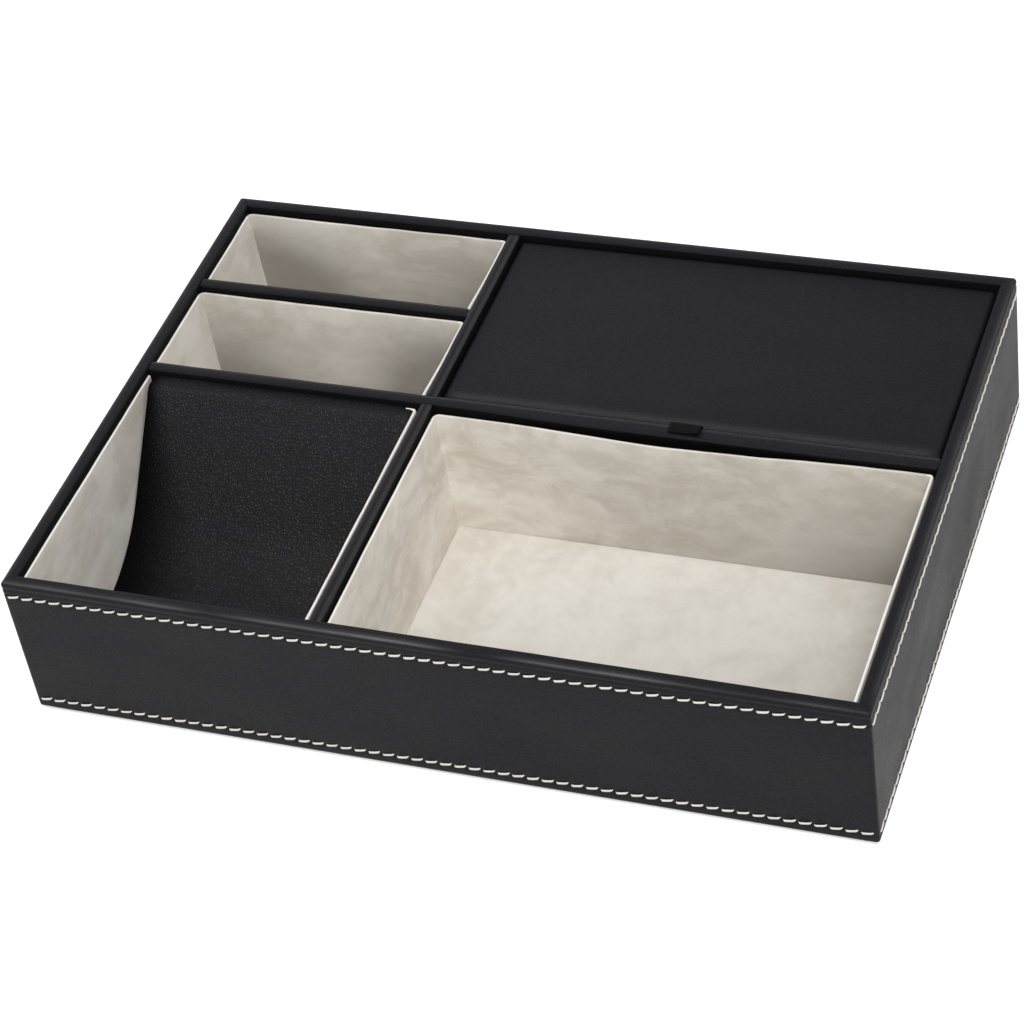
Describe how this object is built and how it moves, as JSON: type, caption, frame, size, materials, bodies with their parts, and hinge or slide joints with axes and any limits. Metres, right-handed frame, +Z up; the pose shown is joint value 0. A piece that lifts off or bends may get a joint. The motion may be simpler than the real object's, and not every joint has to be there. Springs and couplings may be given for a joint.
{
  "type": "valet tray",
  "caption": "Leather-covered desk tray with suede-lined pockets, a padded concave cradle and a loose padded lid with a pull tab over a rear pocket.",
  "frame": {"origin": "centre of the underside of the base", "axes": "+X to the right along the width, +Y from the front to the back, +Z up"},
  "size_m": [0.32, 0.23, 0.0671],
  "materials": {
    "leather": "satin",
    "grained_leather": "satin",
    "suede": "matte",
    "board": "matte",
    "foam": "matte",
    "ribbon": "satin",
    "felt": "matte"
  },
  "bodies": {
    "tray": {"back_wall_board": "board", "base_board": "board", "base_felt": "felt", "bottom_board": "board", "centre_divider_board": "board", "centre_divider_leather_back": "leather", "centre_divider_leather_front": "leather", "cradle_board": "board", "cradle_foam": "foam", "cradle_front_liner": "suede", "cradle_leather": "grained_leather", "cradle_left_liner": "suede", "cradle_right_liner": "suede", "cross_divider_board": "board", "cross_divider_leather": "leather", "front_wall_board": "board", "large_pocket_back_liner": "suede", "large_pocket_floor": "suede", "large_pocket_front_liner": "suede", "large_pocket_left_liner": "suede", "large_pocket_right_liner": "suede", "left_wall_board": "board", "lidded_pocket_back_liner": "suede", "lidded_pocket_floor": "suede", "lidded_pocket_front_liner": "suede", "lidded_pocket_left_liner": "suede", "lidded_pocket_right_liner": "suede", "middle_pocket_back_liner": "suede", "middle_pocket_floor": "suede", "middle_pocket_front_liner": "suede", "middle_pocket_left_liner": "suede", "middle_pocket_right_liner": "suede", "outer_leather": "leather", "rear_pocket_back_liner": "suede", "rear_pocket_floor": "suede", "rear_pocket_front_liner": "suede", "rear_pocket_left_liner": "suede", "rear_pocket_right_liner": "suede", "right_wall_board": "board", "rim_leather_back": "leather", "rim_leather_front": "leather", "rim_leather_left": "leather", "rim_leather_right": "leather", "short_divider_board": "board", "short_divider_leather": "leather"},
    "lid": {"lid_board": "board", "lid_foam": "foam", "lid_leather": "leather", "lid_lining": "suede", "lid_pull_tab": "ribbon"}
  },
  "joints": [
    {"name": "lid_lift", "type": "slide", "parent": "tray", "child": "lid", "axis": [0, 0, 1], "range_m": [0, 0.06]}
  ]
}
